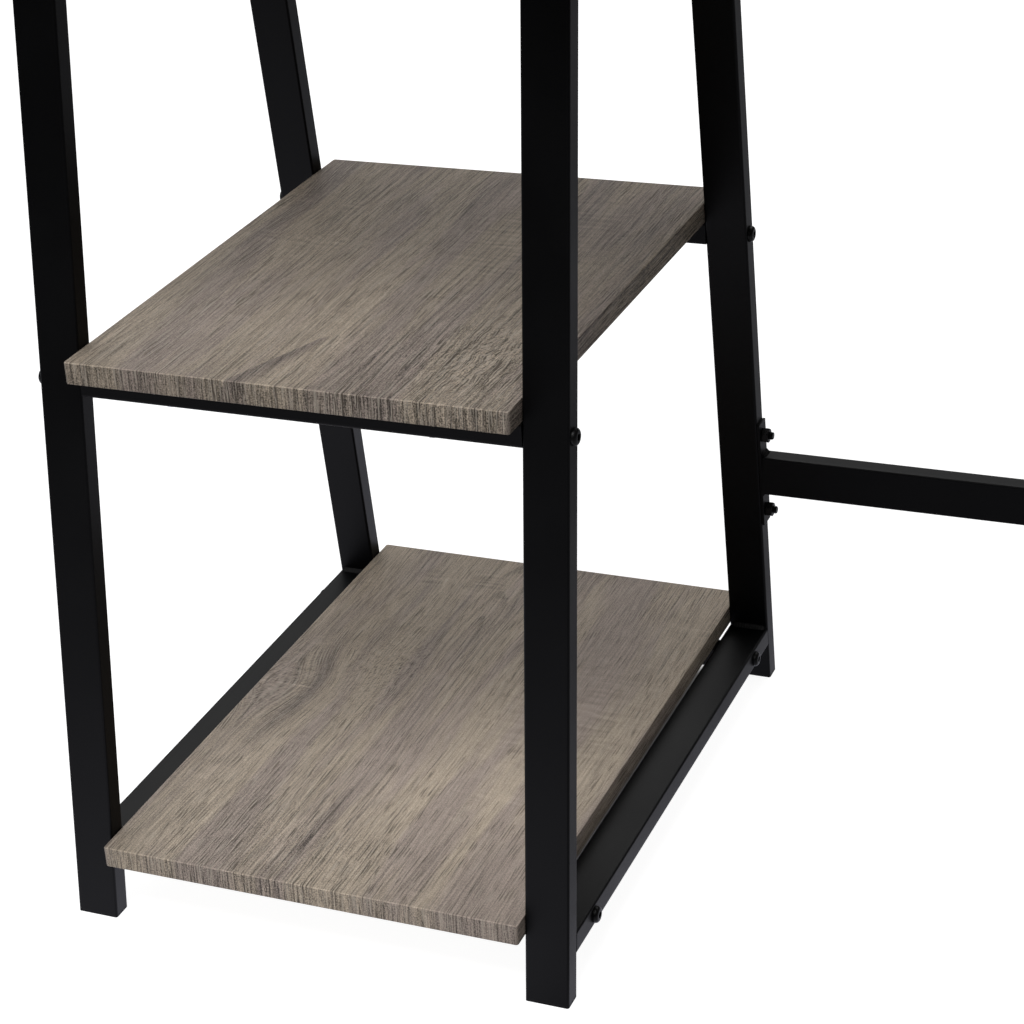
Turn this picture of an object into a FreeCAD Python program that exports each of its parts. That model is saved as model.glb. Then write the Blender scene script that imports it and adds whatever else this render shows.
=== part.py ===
import FreeCAD, Part
import math
import os

# A trestle desk with two open shelves at its left end.
# X runs along the desk, Y runs from the front to the back, Z is up, and all sizes are millimetres.
# The origin lies on the floor, under the middle of the desktop.

# Boards
desktop_length = 1200.0
desktop_depth = 500.0
desktop_thickness = 15.0
desktop_end_overhang = 20.0
shelf_thickness = 15.0
upper_shelf_overhang = 20.0
lower_shelf_overhang = 12.5
shelf_side_gap = 0.4
board_edge_radius = 0.8
board_corner_radius = 2.0

# Heights above the floor
desk_height = 750.0
upper_shelf_height = 402.0
lower_rail_height = 46.0
stretcher_height = 184.0

# End frames of flat-sided tube
frame_base_depth = 460.0
frame_top_depth = 282.0
shelf_bay_width = 302.0
tube_width = 30.0
tube_depth = 15.0
tube_wall = 1.2
tube_corner = 1.5
bore_corner_share = 0.4
weld_length = 3.0
weld_crown_share = 0.65

# Bars that carry the shelves
bar_size = 16.0
bar_corner = 1.6
lower_bar_inset = 34.0
bar_nut_length = 14.0

# Stretcher between the middle and the right frame
stretcher_plate_length = 86.0
stretcher_plate_thickness = 2.0
stretcher_bolt_spacing = 64.0

# Plastic plugs in the open tube ends
plug_flange = 2.0
plug_reach = 14.0
plug_wall = 1.6
plug_clearance = 0.15

# Frame bolts with button heads or flush heads, and their hexagon nuts
bolt_diameter = 6.0
button_head_diameter = 11.4
button_head_height = 3.3
button_head_crown = 2.3
flush_head_diameter = 11.0
bolt_socket_flats = 4.0
bolt_socket_depth = 2.0
bolt_grip_in_nut = 11.0
bolt_tail = 3.0
nut_flats = 10.0
nut_height = 5.0

# Wood screws under the boards
screw_diameter = 4.0
screw_head_diameter = 8.0
screw_head_height = 2.4
screw_reach = 10.0
screw_tip = 3.0
shelf_screw_inset = 61.0
desktop_screw_inset = 56.0

# Fits and cuts
hole_clearance = 0.6
thread_clearance = 0.2
insert_clearance = 0.1
cut_overrun = 2.0

# Places that follow from the sizes above
x_axis = FreeCAD.Vector(1, 0, 0)
y_axis = FreeCAD.Vector(0, 1, 0)
z_axis = FreeCAD.Vector(0, 0, 1)
front = -1
rear = 1
both_ways = (-1, 1)
desktop_bottom = desk_height - desktop_thickness
leg_top = desktop_bottom - tube_depth
lean_per_rise = (frame_base_depth - frame_top_depth) / (2 * leg_top)
level_stretch = math.sqrt(1 + lean_per_rise ** 2)
leg_level_depth = tube_depth * level_stretch
left_frame_x = -desktop_length / 2 + desktop_end_overhang + tube_width / 2
middle_frame_x = left_frame_x + tube_width + shelf_bay_width
right_frame_x = -left_frame_x
bay_left_x = left_frame_x + tube_width / 2
bay_right_x = middle_frame_x - tube_width / 2
bay_middle_x = (bay_left_x + bay_right_x) / 2
shelf_width = shelf_bay_width - 2 * shelf_side_gap
upper_bar_z = upper_shelf_height - shelf_thickness - bar_size / 2
lower_bar_z = lower_rail_height - bar_size / 2
lower_rail_z = lower_rail_height - tube_depth / 2
top_rail_z = leg_top + tube_depth / 2
hole_diameter = bolt_diameter + hole_clearance
bolt_heights = [stretcher_height + way * stretcher_bolt_spacing / 2 for way in both_ways]
shelf_screw_xs = (bay_left_x + shelf_screw_inset, bay_right_x - shelf_screw_inset)


def outer_half_depth(z):
    """Distance from the desk's middle plane to a leg's outer face at height z."""
    return frame_base_depth / 2 - lean_per_rise * z


def inner_half_depth(z):
    """Distance from the desk's middle plane to a leg's inner face at height z."""
    return outer_half_depth(z) - leg_level_depth


def leg_middle(x, side, z):
    """Middle of a leg at height z."""
    return FreeCAD.Vector(x, side * (outer_half_depth(z) - leg_level_depth / 2), z)


def rounded_face(center, u, v, width, depth, radius):
    """Flat rectangle with round corners, width along u and depth along v."""
    ways = [u, v, -u, -v]
    corner_signs = [(1, 1), (-1, 1), (-1, -1), (1, -1)]
    arcs = []
    for turn, (u_sign, v_sign) in enumerate(corner_signs):
        pivot = center + u * (u_sign * (width / 2 - radius)) + v * (v_sign * (depth / 2 - radius))
        start = ways[turn]
        end = ways[(turn + 1) % 4]
        middle = (start + end).normalize()
        arcs.append([pivot + way * radius for way in (start, middle, end)])
    edges = []
    for turn, arc in enumerate(arcs):
        following = arcs[(turn + 1) % 4]
        edges.append(Part.Arc(*arc).toShape())
        edges.append(Part.LineSegment(arc[2], following[0]).toShape())
    return Part.Face(Part.Wire(edges))


def tube(start, u, v, width, depth, corner, run, stretch=1):
    """Hollow tube from start along run, stretched along v where its ends are cut aslant."""
    outside = rounded_face(start, u, v, width, depth * stretch, corner).extrude(run)
    bore_width = width - 2 * tube_wall
    bore_depth = (depth - 2 * tube_wall) * stretch
    bore = rounded_face(start, u, v, bore_width, bore_depth, corner * bore_corner_share).extrude(run)
    return outside.cut(bore)


def plug(start, u, v, width, depth, corner, out, stretch=1):
    """Plastic plug: a flange that closes a tube end at start, and a hollow spigot in the bore."""
    flange = rounded_face(start, u, v, width, depth * stretch, corner).extrude(out * plug_flange)
    spigot_width = width - 2 * (tube_wall + plug_clearance)
    spigot_depth = (depth - 2 * (tube_wall + plug_clearance)) * stretch
    spigot_corner = corner * bore_corner_share
    inward = out * -plug_reach
    spigot = rounded_face(start, u, v, spigot_width, spigot_depth, spigot_corner).extrude(inward)
    hollow_width = spigot_width - 2 * plug_wall
    hollow_depth = spigot_depth - 2 * plug_wall
    hollow = rounded_face(start, u, v, hollow_width, hollow_depth, spigot_corner).extrude(inward)
    return flange.fuse(spigot.cut(hollow)).removeSplitter()


def rod(start, way, diameter, length):
    """Round bar from start."""
    return Part.makeCylinder(diameter / 2, length, start, way)


def hexagon(start, way, flats, height):
    """Hexagonal prism from start along way, with one corner upwards."""
    radius = flats / 2 / math.cos(math.pi / 6)
    side_way = way.cross(z_axis)
    points = []
    for corner in range(7):
        angle = corner * math.pi / 3
        points.append(start + z_axis * (radius * math.cos(angle)) + side_way * (radius * math.sin(angle)))
    return Part.Face(Part.makePolygon(points)).extrude(way * height)


def bolt_socket(top, way):
    """Hexagon socket in the top of a bolt's head."""
    return hexagon(top, way, bolt_socket_flats, bolt_socket_depth)


def button_bolt(seat, way, length):
    """Button-head bolt: its head stands on seat against way, and its shank runs along way."""
    head_radius = button_head_diameter / 2
    rim_height = button_head_height - button_head_crown
    pivot = seat + z_axis * (head_radius - button_head_crown) - way * rim_height
    rim = seat + z_axis * head_radius
    shoulder = pivot + z_axis * button_head_crown
    crown = pivot - way * button_head_crown
    top = seat - way * button_head_height
    round_middle = pivot + (z_axis - way).normalize() * button_head_crown
    edges = [Part.LineSegment(seat, rim).toShape(), Part.LineSegment(rim, shoulder).toShape()]
    edges.append(Part.Arc(shoulder, round_middle, crown).toShape())
    edges += [Part.LineSegment(crown, top).toShape(), Part.LineSegment(top, seat).toShape()]
    head = Part.Face(Part.Wire(edges)).revolve(seat, way, 360)
    shank = rod(seat, way, bolt_diameter, length)
    return head.fuse(shank).removeSplitter().cut(bolt_socket(top, way))


def flush_cone(seat, way, spread):
    """Cone of a flush head that narrows along way from seat, grown all round by spread."""
    head_radius = flush_head_diameter / 2 + spread
    shank_radius = bolt_diameter / 2
    return Part.makeCone(head_radius, shank_radius, head_radius - shank_radius, seat, way)


def flush_bolt(seat, way, length):
    """Flush-head bolt: its head lies level with seat, and its shank runs along way."""
    shank = rod(seat, way, bolt_diameter, length)
    return flush_cone(seat, way, 0).fuse(shank).removeSplitter().cut(bolt_socket(seat, way))


def wood_screw(seat, grip):
    """Pan-head screw that points up from seat through grip and on into the board."""
    straight = grip + screw_reach - screw_tip
    shank = rod(seat, z_axis, screw_diameter, straight)
    tip = Part.makeCone(screw_diameter / 2, 0, screw_tip, seat + z_axis * straight, z_axis)
    head_radius = screw_head_diameter / 2
    shank_radius = screw_diameter / 2
    head = Part.makeCone(head_radius, shank_radius, screw_head_height, seat, -z_axis)
    return head.fuse(shank).fuse(tip).removeSplitter()


def screw_hole(seat, length):
    """Upright clearance hole for a wood screw."""
    start = seat - z_axis * cut_overrun
    return rod(start, z_axis, screw_diameter + hole_clearance, length + 2 * cut_overrun)


def pilot_hole(seat):
    """Blind hole for a wood screw, up into a board's underside."""
    return rod(seat, z_axis, screw_diameter + thread_clearance, screw_reach + thread_clearance)


def cross_hole(middle, width):
    """Clearance hole for a bolt, along X through a tube of this width."""
    length = width + 2 * cut_overrun
    return rod(middle - x_axis * (length / 2), x_axis, hole_diameter, length)


def upper_bar_middle(side):
    """Middle of an upper shelf bar, on the line of the legs that carry it."""
    return leg_middle(bay_middle_x, side, upper_bar_z)


def lower_bar_middle(side):
    """Middle of a lower shelf bar, between the lower rails."""
    setback = inner_half_depth(lower_bar_z) - lower_bar_inset
    return FreeCAD.Vector(bay_middle_x, side * setback, lower_bar_z)


def at_x(point, x):
    """The same point at another place along the desk."""
    return FreeCAD.Vector(x, point.y, point.z)


def drilled(solid, x, holes, flush_holes, way):
    """A frame tube at x with bolt holes through it, and seats for flush heads that point along way."""
    for middle in holes + flush_holes:
        solid = solid.cut(cross_hole(at_x(middle, x), tube_width))
    for middle in flush_holes:
        seat = at_x(middle, x) - way * (tube_width / 2)
        solid = solid.cut(flush_cone(seat, way, insert_clearance))
    return solid


def leg(x, side):
    """Leaning leg, cut level at both ends."""
    foot = leg_middle(x, side, plug_flange)
    head = leg_middle(x, side, leg_top)
    return tube(foot, x_axis, y_axis, tube_width, tube_depth, tube_corner, head - foot, level_stretch)


def leg_plug(x, side):
    """Foot plug, which follows the leg's lean and meets the floor."""
    start = leg_middle(x, side, plug_flange)
    floor = leg_middle(x, side, 0)
    down = (floor - start) * (1 / plug_flange)
    return plug(start, x_axis, y_axis, tube_width, tube_depth, tube_corner, down, level_stretch)


def between_legs(x, low, high):
    """Block that fills a frame from one leg's inner face to the other's."""
    corners = []
    for side, z in ((front, low), (rear, low), (rear, high), (front, high), (front, low)):
        corners.append(FreeCAD.Vector(x - tube_width, side * inner_half_depth(z), z))
    return Part.Face(Part.makePolygon(corners)).extrude(x_axis * (2 * tube_width))


def lower_rail(x):
    """Flat rail between the legs, with its ends cut to their lean."""
    start = FreeCAD.Vector(x, -frame_base_depth / 2, lower_rail_z)
    run = y_axis * frame_base_depth
    solid = tube(start, x_axis, z_axis, tube_width, tube_depth, tube_corner, run)
    low = lower_rail_height - tube_depth - cut_overrun
    high = lower_rail_height + cut_overrun
    return solid.common(between_legs(x, low, high))


def desktop_screw_seats(x):
    """Where the desktop's screws bear on the underside of a frame's top rail."""
    setback = frame_top_depth / 2 - desktop_screw_inset
    return [FreeCAD.Vector(x, side * setback, leg_top) for side in (front, rear)]


def top_rail(x):
    """Flat rail over the legs' heads, under the desktop."""
    length = frame_top_depth - 2 * plug_flange
    start = FreeCAD.Vector(x, -length / 2, top_rail_z)
    solid = tube(start, x_axis, z_axis, tube_width, tube_depth, tube_corner, y_axis * length)
    for seat in desktop_screw_seats(x):
        solid = solid.cut(screw_hole(seat, tube_depth))
    return solid


def top_rail_plug(x, side):
    """Plug in one end of a top rail."""
    start = FreeCAD.Vector(x, side * (frame_top_depth / 2 - plug_flange), top_rail_z)
    return plug(start, x_axis, z_axis, tube_width, tube_depth, tube_corner, y_axis * side)


def weld_bead(corner, first, second, run):
    """Fillet weld with a full face, in the corner between two faces."""
    middle = corner + ((first - corner) + (second - corner)) * weld_crown_share
    edges = [Part.LineSegment(second, corner).toShape(), Part.LineSegment(corner, first).toShape()]
    edges.append(Part.Arc(first, middle, second).toShape())
    return Part.Face(Part.Wire(edges)).extrude(run)


def frame_weld(x, side, z, rise):
    """Weld between a leg's inner face and a level rail face at height z."""
    start_x = x - tube_width / 2 + tube_corner
    corner = FreeCAD.Vector(start_x, side * inner_half_depth(z), z)
    on_rail = corner - y_axis * (side * weld_length)
    leg_z = z + rise * weld_length
    on_leg = FreeCAD.Vector(start_x, side * inner_half_depth(leg_z), leg_z)
    return weld_bead(corner, on_rail, on_leg, x_axis * (tube_width - 2 * tube_corner))


def frame_welds(x):
    """All the weld beads of one frame."""
    beads = []
    for side in (front, rear):
        beads.append(frame_weld(x, side, lower_rail_height, 1))
        beads.append(frame_weld(x, side, lower_rail_height - tube_depth, -1))
        beads.append(frame_weld(x, side, leg_top, -1))
    return beads


def board(center_x, width, depth, bottom, thickness, screw_seats):
    """Wrapped board with lightly rounded edges and pilot holes in its underside."""
    corner = FreeCAD.Vector(center_x - width / 2, -depth / 2, bottom)
    solid = Part.makeBox(width, depth, thickness, corner)
    uprights = [edge for edge in solid.Edges if edge.BoundBox.ZLength > thickness / 2]
    solid = solid.makeFillet(board_corner_radius, uprights)
    rims = [edge for edge in solid.Edges if edge.BoundBox.ZLength < thickness / 2]
    solid = solid.makeFillet(board_edge_radius, rims)
    for seat in screw_seats:
        solid = solid.cut(pilot_hole(seat))
    return solid


def shelf_bar(middle):
    """Square bar across the shelf bay, with holes for the shelf's screws."""
    start = at_x(middle, bay_left_x)
    solid = tube(start, y_axis, z_axis, bar_size, bar_size, bar_corner, x_axis * shelf_bay_width)
    for x in shelf_screw_xs:
        solid = solid.cut(screw_hole(at_x(middle, x) - z_axis * (bar_size / 2), bar_size))
    return solid


def bar_nut(middle, x, way):
    """Threaded block in the end of a shelf bar, set in along way."""
    side = bar_size - 2 * (tube_wall + insert_clearance)
    corner = bar_corner * bore_corner_share
    face = rounded_face(at_x(middle, x), y_axis, z_axis, side, side, corner)
    mouth = at_x(middle, x) - way * cut_overrun
    thread = rod(mouth, way, bolt_diameter + thread_clearance, bar_nut_length + 2 * cut_overrun)
    return face.extrude(way * bar_nut_length).cut(thread)


def bar_nuts(middles):
    """The threaded blocks of a pair of bars."""
    ends = ((bay_left_x, x_axis), (bay_right_x, -x_axis))
    return [bar_nut(middle, x, way) for middle in middles for x, way in ends]


def bar_bolts(middles):
    """The bolts that hold a pair of bars, from the outer faces of the left and the middle frame."""
    length = tube_width + bolt_grip_in_nut
    ends = ((bay_left_x - tube_width, x_axis), (bay_right_x + tube_width, -x_axis))
    return [button_bolt(at_x(middle, x), way, length) for middle in middles for x, way in ends]


def shelf_screw_seats(middles):
    """Where a shelf's screws bear on the undersides of its bars."""
    return [at_x(middle, x) - z_axis * (bar_size / 2) for middle in middles for x in shelf_screw_xs]


def raised(points, height):
    """The same points at one height."""
    return [FreeCAD.Vector(point.x, point.y, height) for point in points]


def stretcher_plate(x, way):
    """Plate that lies on a rear leg's side and follows its lean."""
    low = leg_middle(x, rear, stretcher_height - stretcher_plate_length / 2)
    high = leg_middle(x, rear, stretcher_height + stretcher_plate_length / 2)
    corner = low - y_axis * (leg_level_depth / 2)
    across = way * stretcher_plate_thickness
    along = y_axis * leg_level_depth
    points = [corner, corner + across, corner + across + along, corner + along, corner]
    solid = Part.Face(Part.makePolygon(points)).extrude(high - low)
    for z in bolt_heights:
        solid = solid.cut(cross_hole(leg_middle(x, rear, z), tube_width))
    return solid


def stretcher_tube(start_x, end_x):
    """Tube on edge between the two plates."""
    start = leg_middle(start_x, rear, stretcher_height)
    run = x_axis * (end_x - start_x)
    return tube(start, y_axis, z_axis, tube_depth, tube_width, tube_corner, run)


def stretcher_weld(x, way, rise):
    """Weld between a plate and the upper or lower face of the stretcher."""
    half_length = tube_depth / 2 - tube_corner - lean_per_rise * tube_width / 2
    corner = leg_middle(x, rear, stretcher_height) + z_axis * (rise * tube_width / 2) - y_axis * half_length
    on_tube = corner + way * weld_length
    on_plate = corner + z_axis * (rise * weld_length)
    return weld_bead(corner, on_tube, on_plate, y_axis * (2 * half_length))


def stretcher_bolt(frame_x, way, z):
    """Flush bolt through a rear leg and its plate, with its tail past the nut."""
    length = tube_width + stretcher_plate_thickness + nut_height + bolt_tail
    return flush_bolt(leg_middle(frame_x - way.x * tube_width / 2, rear, z), way, length)


def stretcher_nut(frame_x, way, z):
    """Hexagon nut on the plate."""
    seat = leg_middle(frame_x + way.x * (tube_width / 2 + stretcher_plate_thickness), rear, z)
    thread = bolt_diameter + thread_clearance
    bore = rod(seat - way * cut_overrun, way, thread, nut_height + 2 * cut_overrun)
    return hexagon(seat, way, nut_flats, nut_height).cut(bore)


def save(name, solids):
    """Write one piece, or one group of like pieces."""
    shape = solids[0] if len(solids) == 1 else Part.makeCompound(solids)
    shape.exportStep(os.path.join("parts", name + ".step"))
    print(name, len(solids), round(shape.Volume))


os.makedirs("parts", exist_ok=True)

# Frames
upper_middles = [upper_bar_middle(side) for side in (front, rear)]
lower_middles = [lower_bar_middle(side) for side in (front, rear)]
stretcher_holes = [leg_middle(0, rear, z) for z in bolt_heights]
for name, x in (("left", left_frame_x), ("middle", middle_frame_x), ("right", right_frame_x)):
    inward = -x_axis if name == "right" else x_axis
    upper_holes = [] if name == "right" else upper_middles
    lower_holes = [] if name == "right" else lower_middles
    flush_holes = [] if name == "left" else stretcher_holes
    save(name + "_front_leg", [drilled(leg(x, front), x, upper_holes[:1], [], inward)])
    save(name + "_rear_leg", [drilled(leg(x, rear), x, upper_holes[1:], flush_holes, inward)])
    save(name + "_lower_rail", [drilled(lower_rail(x), x, lower_holes, [], inward)])
    save(name + "_top_rail", [top_rail(x)])
    save(name + "_frame_welds", frame_welds(x))
    save(name + "_front_foot", [leg_plug(x, front)])
    save(name + "_rear_foot", [leg_plug(x, rear)])
    save(name + "_top_rail_plugs", [top_rail_plug(x, side) for side in (front, rear)])

# Shelves
lower_shelf_height = lower_rail_height + shelf_thickness
shelves = (("upper", upper_middles, upper_shelf_height, upper_shelf_overhang),
           ("lower", lower_middles, lower_shelf_height, lower_shelf_overhang))
for name, middles, top, overhang in shelves:
    seats = shelf_screw_seats(middles)
    bottom = top - shelf_thickness
    depth = 2 * (outer_half_depth(top) + overhang)
    save(name + "_shelf", [board(bay_middle_x, shelf_width, depth, bottom, shelf_thickness,
                                 raised(seats, bottom))])
    save(name + "_front_bar", [shelf_bar(middles[0])])
    save(name + "_rear_bar", [shelf_bar(middles[1])])
    save(name + "_bar_nuts", bar_nuts(middles))
    save(name + "_bar_bolts", bar_bolts(middles))
    save(name + "_shelf_screws", [wood_screw(seat, bar_size) for seat in seats])

# Stretcher
plate_left_x = middle_frame_x + tube_width / 2
plate_right_x = right_frame_x - tube_width / 2
tube_left_x = plate_left_x + stretcher_plate_thickness
tube_right_x = plate_right_x - stretcher_plate_thickness
ends = ((middle_frame_x, x_axis), (right_frame_x, -x_axis))
save("stretcher_tube", [stretcher_tube(tube_left_x, tube_right_x)])
save("stretcher_left_plate", [stretcher_plate(plate_left_x, x_axis)])
save("stretcher_right_plate", [stretcher_plate(plate_right_x, -x_axis)])
tube_ends = ((tube_left_x, x_axis), (tube_right_x, -x_axis))
save("stretcher_welds", [stretcher_weld(x, way, rise) for x, way in tube_ends for rise in both_ways])
save("stretcher_bolts", [stretcher_bolt(x, way, z) for x, way in ends for z in bolt_heights])
save("stretcher_nuts", [stretcher_nut(x, way, z) for x, way in ends for z in bolt_heights])

# Desktop
frame_xs = (left_frame_x, middle_frame_x, right_frame_x)
desktop_seats = [seat for x in frame_xs for seat in desktop_screw_seats(x)]
save("desktop", [board(0, desktop_length, desktop_depth, desktop_bottom, desktop_thickness,
                       raised(desktop_seats, desktop_bottom))])
save("desktop_screws", [wood_screw(seat, tube_depth) for seat in desktop_seats])
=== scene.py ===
# %% [markdown]
# # Dressing a trestle desk with shelves
#
# The desk was built first as solids: boards, tubes, welds and fasteners at their real size. This
# lesson loads those solids as a fixed frame and gives each one the surface that the eye expects:
# grey oak film on the boards, black powder coat on the tubes, rippled welds and real bolt heads.
# Every length below is in metres. +X runs along the desk, +Y to the back and +Z up.

# %% Load the frame and keep its box
import math

import bmesh
import bpy
import numpy as np
from mathutils import Matrix, Vector


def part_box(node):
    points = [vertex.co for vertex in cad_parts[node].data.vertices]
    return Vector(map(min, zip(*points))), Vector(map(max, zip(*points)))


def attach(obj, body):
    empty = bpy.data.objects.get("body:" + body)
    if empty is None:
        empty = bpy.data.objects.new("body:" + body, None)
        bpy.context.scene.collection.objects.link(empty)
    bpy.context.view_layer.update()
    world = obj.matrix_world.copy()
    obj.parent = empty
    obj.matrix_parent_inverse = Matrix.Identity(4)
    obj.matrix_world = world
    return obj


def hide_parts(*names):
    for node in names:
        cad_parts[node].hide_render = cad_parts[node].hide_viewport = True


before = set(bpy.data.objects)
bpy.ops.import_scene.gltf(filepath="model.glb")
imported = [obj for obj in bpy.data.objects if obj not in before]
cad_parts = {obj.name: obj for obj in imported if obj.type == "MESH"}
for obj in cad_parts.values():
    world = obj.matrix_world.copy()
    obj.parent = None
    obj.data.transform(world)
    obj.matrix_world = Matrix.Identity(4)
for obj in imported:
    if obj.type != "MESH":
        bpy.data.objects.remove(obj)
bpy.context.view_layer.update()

MM = 0.001
BODY = "root"

# %% [markdown]
# ## Reading places from the frame
#
# A piece that stands for a solid has to lie exactly where the solid lies, so nothing here is placed
# by eye. A box is enough for a straight tube or a board. A leaning leg needs a little more: its two
# ends are cut level, so the points at its lowest and highest level give the section at each end.

# %% Boxes, and the level ends of the legs
FRAMES = ("left", "middle", "right")
SIDES = ("front", "rear")
LEVELS = ("upper", "lower")


def box_of(node):
    """Lowest corner, highest corner and middle of a node, as arrays."""
    low, high = (np.array(corner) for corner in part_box(node))
    return low, high, (low + high) / 2


def level_ends(node):
    """Middle and size of a node's section at its lowest and at its highest level."""
    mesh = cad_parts[node].data
    points = np.empty(len(mesh.vertices) * 3)
    mesh.vertices.foreach_get("co", points)
    points = points.reshape(-1, 3)
    heights = points[:, 2]
    ends = []
    for level in (heights.min(), heights.max()):
        ring = points[np.abs(heights - level) < 0.01 * MM]
        ends.append(((ring.min(0) + ring.max(0)) / 2, ring.max(0) - ring.min(0)))
    return ends


leg_ends = {(name, side): level_ends(f"{name}_{side}_leg") for name in FRAMES for side in SIDES}


def leg_middle(name, side, height):
    """Middle of a leg at a height: the straight line through the middles of its two ends."""
    (foot, _), (head, _) = leg_ends[name, side]
    share = (np.asarray(height, float) - foot[2]) / (head[2] - foot[2])
    return foot + share[..., None] * (head - foot)


leg_size = leg_ends["left", "front"][0][1]
lean = leg_middle("left", "front", 1.0) - leg_middle("left", "front", 0.0)
print("leg", (leg_size / MM).round(2), "mm, lean", round(math.degrees(math.atan(lean[1])), 2), "degrees")

# %% [markdown]
# ## From arrays to a mesh
#
# Most pieces here are a closed outline carried along a path. The outlines form a stack of rings, so
# the faces between them can be counted off by index arithmetic with no loop over points. One
# function then makes the object, turns all faces outwards, hangs it on the root body and hides the
# solid that it stands for.

# %% Ring faces and the piece maker
def ring_faces(rings, around, first=0):
    """Quads between neighbouring closed rings, and one cap on the first and on the last ring.

    Point i of ring r has index r * around + i, so a quad joins (r, i), (r, i + 1), (r + 1, i + 1)
    and (r + 1, i), where i + 1 wraps round to 0.
    """
    ring, step = np.meshgrid(np.arange(rings - 1), np.arange(around), indexing="ij")
    here = ring * around + step
    after = ring * around + (step + 1) % around
    quads = np.stack([here, after, after + around, here + around], axis=-1).reshape(-1, 4) + first
    start_cap = np.arange(around)[::-1] + first
    end_cap = np.arange(around) + (rings - 1) * around + first
    return quads.tolist() + [start_cap.tolist(), end_cap.tolist()]


def stacked(shells):
    """Join shells, each an array of rings x around x 3, into one point list and one face list."""
    points, faces, first = [], [], 0
    for shell in shells:
        points.append(shell.reshape(-1, 3))
        faces += ring_faces(shell.shape[0], shell.shape[1], first)
        first += shell.shape[0] * shell.shape[1]
    return np.concatenate(points), faces


def put_in_scene(name, data):
    """A new object of the scene with this data."""
    thing = bpy.data.objects.new(name, data)
    bpy.context.scene.collection.objects.link(thing)
    return thing


def make_piece(look, node, points, faces, material, slot, point_values=None, loop_uv=None, sharp=35):
    """Make a mesh object at the origin, face it outwards, and let it stand for a CAD node."""
    name = f"{look}_{node}"
    mesh = bpy.data.meshes.new(name)
    mesh.from_pydata(points.tolist(), [], faces)
    for title, values in (point_values or {}).items():
        layer = mesh.attributes.new(title, "FLOAT", "POINT")
        layer.data.foreach_set("value", np.asarray(values, np.float32).ravel())
    if loop_uv is not None:
        mesh.uv_layers.new(name="grain").uv.foreach_set("vector", loop_uv.astype(np.float32).ravel())
    work = bmesh.new()
    work.from_mesh(mesh)
    bmesh.ops.recalc_face_normals(work, faces=work.faces)
    work.to_mesh(mesh)
    work.free()
    mesh.polygons.foreach_set("use_smooth", np.ones(len(mesh.polygons), bool))
    mesh.set_sharp_from_angle(angle=math.radians(sharp))
    mesh.materials.append(material)
    piece = put_in_scene(name, mesh)
    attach(piece, BODY)
    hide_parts(node)
    return piece


def dress(look, node, shells, material, slot, **more):
    """Make a piece of closed shells that stands for a CAD node."""
    make_piece(look, node, *stacked(shells), material, slot, **more)


print("one quad strip of 3 points and 2 rings:", ring_faces(2, 3)[:3])

# %% [markdown]
# ## A small language for shader nodes
#
# A material is a graph. Typed out node by node it hides its own idea, so these helpers place a node
# and feed it in one line: a socket is linked, a number or colour is typed in, None is skipped. A socket
# knows the graph that it belongs to, so arithmetic with sockets need not name the graph. Effects that
# several materials share become node groups with named sockets.

# %% Node helpers
def feed(socket, value):
    """Link another socket into this one, or type a value into it."""
    if isinstance(value, bpy.types.NodeSocket):
        socket.id_data.links.new(value, socket)
    elif value is not None:
        socket.default_value = value


def place(tree, kind, *values, **settings):
    """Place a shader node with these settings, feed its inputs in order, and hand back its outputs."""
    node = tree.nodes.new("ShaderNode" + kind)
    for title, value in settings.items():
        setattr(node, title, value)
    for socket, value in zip(node.inputs, values):
        feed(socket, value)
    return node.outputs


def calc(operation, *values):
    """One step of arithmetic, in the graph of the first value that is a socket."""
    tree = next(value.id_data for value in values if isinstance(value, bpy.types.NodeSocket))
    return place(tree, "Math", *values, operation=operation)[0]


def add_up(start, *terms):
    """The start value plus every term, where a term is a value and its factor."""
    for value, factor in terms:
        start = calc("MULTIPLY_ADD", value, factor, start)
    return start


def product(first, *others):
    """All the values multiplied together."""
    for other in others:
        first = calc("MULTIPLY", first, other)
    return first


def largest(first, *others):
    """The largest of all the values."""
    for other in others:
        first = calc("MAXIMUM", first, other)
    return first


def squares(first, second):
    """The square of one value plus the square of another."""
    return calc("MULTIPLY_ADD", first, first, product(second, second))


def parts_of(vector):
    """The X, Y and Z of a vector."""
    return place(vector.id_data, "SeparateXYZ", vector)


def remap(value, low, high, to_low=0.0, to_high=1.0):
    """A smooth step from low to high, moved to the range from to_low to to_high."""
    values = (value, low, high, to_low, to_high)
    return place(value.id_data, "MapRange", *values, interpolation_type="SMOOTHSTEP")[0]


def window(value, rise, fall):
    """A smooth step up over the range of rise, times a smooth step down over the range of fall."""
    return product(remap(value, *rise), remap(value, *fall, 1.0, 0.0))


def blend(factor, first, second):
    """A mix of two colours; the node's five inputs for other mixes are skipped."""
    skipped = [None] * 5
    return place(factor.id_data, "Mix", factor, *skipped, first, second, data_type="RGBA")[2]


def noise(vector, scale, detail=2.0, roughness=0.5):
    """Noise from 0 to 1, with scale lumps to the unit."""
    return place(vector.id_data, "TexNoise", vector, None, scale, detail, roughness)[0]


print("node helpers ready")

# %% Groups and materials
def start_group(name, inputs, outputs):
    """A new node group from the names of its sockets by kind: its tree, sources and outlets."""
    tree = bpy.data.node_groups.new(name, "ShaderNodeTree")
    for in_out, sockets in (("INPUT", inputs), ("OUTPUT", outputs)):
        for kind, titles in sockets.items():
            for title in titles.split():
                tree.interface.new_socket(name=title, in_out=in_out, socket_type="NodeSocket" + kind)
    return tree, tree.nodes.new("NodeGroupInput").outputs, tree.nodes.new("NodeGroupOutput").inputs


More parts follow.
